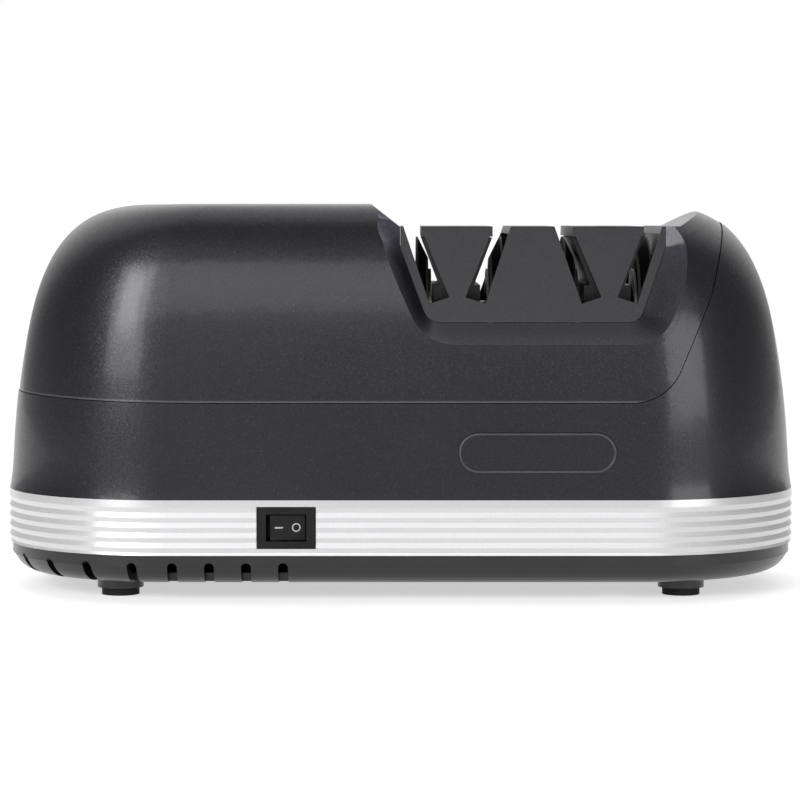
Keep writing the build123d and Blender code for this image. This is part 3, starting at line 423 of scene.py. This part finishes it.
def make_floor():
    """A pale floor that takes the object's shadow and fades into the white background."""
    bpy.ops.mesh.primitive_plane_add(size=FLOOR_SIZE, location=(0, 0, 0))
    floor = bpy.context.object
    floor.name = "studio_floor"
    mat, tree, shader = material("studio_white")
    shader.inputs["Base Color"].default_value = (*grey(FLOOR_COLOUR), 1.0)
    shader.inputs["Roughness"].default_value = 0.6
    shader.inputs["Specular IOR Level"].default_value = 0.1
    place = tree.nodes.new("ShaderNodeNewGeometry").outputs["Position"]
    far = smooth_range(tree, vector_node(tree, "LENGTH", place), *FLOOR_FADE, 0.0, 1.0)
    white = tree.nodes.new("ShaderNodeEmission")
    glow = tree.nodes.new("ShaderNodeEmission")
    glow.inputs["Strength"].default_value = FLOOR_GLOW
    near = tree.nodes.new("ShaderNodeAddShader")
    tree.links.new(shader.outputs["BSDF"], near.inputs[0])
    tree.links.new(glow.outputs["Emission"], near.inputs[1])
    shown = mix_shaders(tree, far, near.outputs["Shader"], white.outputs["Emission"])
    result = mix_shaders(tree, seen_rays(tree)[1], shader.outputs["BSDF"], shown)
    tree.links.new(result, tree.nodes["Material Output"].inputs["Surface"])
    floor.data.materials.append(mat)


def make_world():
    """White where it is seen. Its light is dim in front, where the lamps are, and full behind and above."""
    world = bpy.data.worlds.new("studio")
    bpy.context.scene.world = world
    world.use_nodes = True
    tree = world.node_tree
    direction = tree.nodes.new("ShaderNodeTexCoord").outputs["Generated"]
    _, back, up = axes_of(tree, direction)
    up = math_node(tree, "MULTIPLY", math_node(tree, "MAXIMUM", up, 0.0), WORLD_UP)
    level = smooth_range(tree, math_node(tree, "ADD", back, up), *WORLD_TURN, DIM, FULL)
    direct, either = seen_rays(tree)
    lighting = tree.nodes["Background"]
    shown = tree.nodes.new("ShaderNodeBackground")
    for node, strength in ((lighting, level), (shown, math_node(tree, "MAXIMUM", direct, level))):
        node.inputs["Color"].default_value = WHITE
        tree.links.new(strength, node.inputs["Strength"])
    result = mix_shaders(tree, either, lighting.outputs["Background"], shown.outputs["Background"])
    tree.links.new(result, tree.nodes["World Output"].inputs["Surface"])


HUMP = (-0.07, -0.02, 0.07)
RIGHT_END = (0.075, -0.02, 0.06)
MIDDLE = (0.0, 0.0, 0.05)
LAMPS = (  # name, place, what it points at, watts, width, height
    ("key_left", (-0.93, -1.22, 0.72), HUMP, 9.0, 0.8, 0.8),
    ("key_left_core", (-0.90, -1.18, 0.70), HUMP, 4.0, 0.42, 0.5),
    ("fill_right", (1.05, -1.15, 0.36), RIGHT_END, 4.0, 0.8, 0.36),
    ("front_soft", (0.0, -2.2, 1.2), MIDDLE, 12.0, 2.2, 0.8),
)


def make_lamp(name, place, target, power, width, height):
    data = bpy.data.lights.new(name, "AREA")
    data.shape = "RECTANGLE"
    data.size = width
    data.size_y = height
    data.energy = power
    lamp = bpy.data.objects.new(name, data)
    lamp.location = place
    lamp.rotation_euler = (Vector(target) - Vector(place)).to_track_quat("-Z", "Y").to_euler()
    bpy.context.scene.collection.objects.link(lamp)


make_floor()
make_world()
for settings in LAMPS:
    make_lamp(*settings)


# ---------------------------------------------------------- making meshes
MARK_ROOT = -0.00002  # marks start inside the surface that carries them
RING_SHOULDER = 0.6  # share of a ring's height where its sides end
RING_CREST = (0.22, 0.78)  # shares of its width between which its crest is level


def add_ring(build, points):
    return [build.verts.new(point) for point in points]


def skin(build, rings):
    """Faces between neighbouring rings, which all have the same number of points."""
    count = len(rings[0])
    for first, second in zip(rings, rings[1:]):
        for i in range(count):
            after = (i + 1) % count
            build.faces.new((first[i], first[after], second[after], second[i]))


def make_piece(name, build, finish, smooth):
    """The finished mesh as an object of the scene."""
    bmesh.ops.recalc_face_normals(build, faces=build.faces)
    mesh = bpy.data.meshes.new(name)
    build.to_mesh(mesh)
    build.free()
    for face in mesh.polygons:
        face.use_smooth = smooth
    mesh.materials.append(finish)
    piece = bpy.data.objects.new(name, mesh)
    bpy.context.scene.collection.objects.link(piece)
    return piece


def flat_piece(name, outline, place, low, high, bevel, body, finish):
    """Thin raised plate from an outline in the plane of place, riding on a body."""
    build = bmesh.new()
    middle = sum((Vector(point) for point in outline), Vector((0.0, 0.0))) / len(outline)
    rings = []
    for height, inset in ((low, 0.0), (high - bevel, 0.0), (high, bevel)):
        points = [Vector(point) - (Vector(point) - middle).normalized() * inset for point in outline]
        rings.append(add_ring(build, [place @ Vector((*point, height)) for point in points]))
    skin(build, rings)
    build.faces.new(rings[-1])
    build.faces.new(list(reversed(rings[0])))
    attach(make_piece(name, build, finish, smooth=False), body)


def ring_piece(name, inner, outer, place, low, high, body, finish):
    """Raised ring between two outlines with the same number of points, with a rounded crest."""
    shoulder = high * RING_SHOULDER
    start, end = RING_CREST
    profile = ((0.0, low), (0.0, shoulder), (start, high), (end, high), (1.0, shoulder), (1.0, low))
    build = bmesh.new()
    rings = []
    for share, height in profile:
        points = [Vector(a).lerp(Vector(b), share) for a, b in zip(outer, inner)]
        rings.append(add_ring(build, [place @ Vector((*point, height)) for point in points]))
    skin(build, rings + rings[:1])
    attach(make_piece(name, build, finish, smooth=True), body)


def stadium(length, height, steps=20):
    radius = height / 2
    points = []
    for side in (1, -1):
        for i in range(steps + 1):
            angle = -pi / 2 + pi * i / steps
            points.append((side * (length / 2 - radius + radius * cos(angle)), side * radius * sin(angle)))
    return points


def circle(radius, steps=32):
    return [(radius * cos(2 * pi * i / steps), radius * sin(2 * pi * i / steps)) for i in range(steps)]


def rectangle(width, height):
    return [(x * width / 2, y * height / 2) for x, y in ((-1, -1), (1, -1), (1, 1), (-1, 1))]


# ------------------------------------------------------------- bare badge
BADGE_SHIFT = 0.0007  # right of the block's middle
BADGE_Z = 0.0391
BADGE_DEPTH = 0.00035
BADGE_INNER = (0.0398, 0.0092)  # length and height of the ring
BADGE_OUTER = (0.0411, 0.0104)
BADGE_RING_ROOT = -0.00005  # the ring starts inside the badge place's floor
BADGE_RING_HEIGHT = 0.00026
BAND_STEP = 0.0002  # the housing stands this far inside the trim band
WALL_LEAN = 0.09  # of the housing's front wall, as a slope


def make_badge():
    """A neutral ring in the shallow badge place of the lower housing, with nothing inside it."""
    wall_y = BAND_LOW.y + BAND_STEP + WALL_LEAN * (BADGE_Z - BAND_HIGH.z)
    place = Matrix.Translation((BLOCK_X + BADGE_SHIFT, wall_y + BADGE_DEPTH, BADGE_Z)) \
        @ Matrix.Rotation(pi / 2 - atan(WALL_LEAN), 4, "X")
    ring_piece("badge_ring", stadium(*BADGE_INNER), stadium(*BADGE_OUTER), place, BADGE_RING_ROOT,
               BADGE_RING_HEIGHT, body="housing", finish=ring_paint)


# -------------------------------------------------- marks on the rocker
ROCKER_TILT = radians(9.0)
ROCKER_HALF = 0.00455
ROCKER_FRONT = 0.002438  # from the pivot to the ends of the rocker's face
ROCKER_DIP = 0.0005  # the face is this much lower in its middle
ROCKER_MARK_HEIGHT = 0.00004
BAR_SIZE = (0.0022, 0.0004)
BAR_BEVEL = 0.00001
RING_INNER, RING_OUTER = 0.00082, 0.00115  # radii


def make_rocker_marks():
    """A bar on the raised half and a ring on the sunk one."""
    turned = Matrix.Translation(ROCKER_PIVOT) @ Matrix.Rotation(ROCKER_TILT, 4, "Z")
    slope = atan2(ROCKER_DIP, ROCKER_HALF)
    left, right = (
        turned @ Matrix.Translation((side * ROCKER_HALF / 2, -(ROCKER_FRONT - ROCKER_DIP / 2), 0.0))
        @ Matrix.Rotation(-side * slope, 4, "Z") @ Matrix.Rotation(pi / 2, 4, "X")
        for side in (-1, 1)
    )
    flat_piece("mark_bar", rectangle(*BAR_SIZE), left, MARK_ROOT, ROCKER_MARK_HEIGHT, BAR_BEVEL,
               body="rocker", finish=mark_white)
    ring_piece("mark_ring", circle(RING_INNER), circle(RING_OUTER), right, MARK_ROOT, ROCKER_MARK_HEIGHT,
               body="rocker", finish=mark_white)


# ---------------------------------------------------------- wheel springs
SPRING_RADIUS = 0.0046
SPRING_WIRE = 0.00035  # radius of the wire
SPRING_TURNS = 4.0
SPRING_SEAT = 0.00038  # from the wire's middle to the face that it rests on
FLAT_TURNS = 0.6  # of each end, which lies flat against its seat
STEPS_PER_TURN = 40
WIRE_SIDES = 10


def coil(name, start, end):
    """Round-wire spring round the spindle, from start to end along X."""
    build = bmesh.new()
    steps = int(SPRING_TURNS * STEPS_PER_TURN)
    rings = []
    for i in range(steps + 1):
        turn = SPRING_TURNS * (i / steps)
        along = min(max((turn - FLAT_TURNS) / (SPRING_TURNS - 2 * FLAT_TURNS), 0.0), 1.0)
        middle = start + (end - start) * along
        angle = 2 * pi * turn
        points = []
        for k in range(WIRE_SIDES):
            round_wire = 2 * pi * k / WIRE_SIDES
            radius = SPRING_RADIUS + SPRING_WIRE * cos(round_wire)
            points.append((middle + SPRING_WIRE * sin(round_wire), radius * cos(angle),
                           SPINDLE_Z + radius * sin(angle)))
        rings.append(add_ring(build, points))
    skin(build, rings)
    build.faces.new(rings[0])
    build.faces.new(rings[-1])
    return make_piece(name, build, steel, smooth=True)


def make_springs():
    """Springs that stretch between the spindle's collars and the wheels' hubs."""
    for stage in ("coarse", "fine"):
        for hand, side in (("left", -1), ("right", 1)):
            node = f"{stage}_wheel_spring_{hand}"
            low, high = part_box(node)
            fixed, moving = (low.x, high.x) if side < 0 else (high.x, low.x)
            piece = coil(f"{stage}_coil_{hand}", fixed - side * SPRING_SEAT, moving + side * SPRING_SEAT)
            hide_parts(node)
            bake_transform(piece)


# ----------------------------------------------- stage numbers on the block
NUMBER_Y = -0.018
NUMBER_HEIGHT = 0.00003
ONE = [(-0.0006, -0.005), (0.0007, -0.005), (0.0007, 0.005), (-0.0003, 0.005), (-0.0018, 0.0032),
       (-0.0012, 0.0026), (-0.0006, 0.0034)]
TWO = [(-0.0026, -0.005), (0.0026, -0.005), (0.0026, -0.0038), (-0.0009, -0.0038), (0.0020, -0.0006),
       (0.0027, 0.0016), (0.0024, 0.0036), (0.0008, 0.0050), (-0.0010, 0.0050), (-0.0024, 0.0038),
       (-0.0028, 0.0024), (-0.0016, 0.0021), (-0.0010, 0.0034), (0.0000, 0.0038), (0.0011, 0.0032),
       (0.0014, 0.0016), (0.0006, 0.0000), (-0.0026, -0.0036)]


def make_stage_numbers():
    """Plain numbers on the block's top, one for each stage."""
    top = Matrix.Translation((0.0, 0.0, BLOCK_HIGH.z))
    for name, shape, side in (("mark_one", ONE, -1), ("mark_two", TWO, 1)):
        middle = BLOCK_X + side * STAGE_PITCH / 2
        outline = [(x + middle, y + NUMBER_Y) for x, y in shape]
        flat_piece(name, outline, top, MARK_ROOT, NUMBER_HEIGHT, bevel=0.0, body="housing",
                   finish=mark_dark)


make_badge()
make_rocker_marks()
make_springs()
make_stage_numbers()
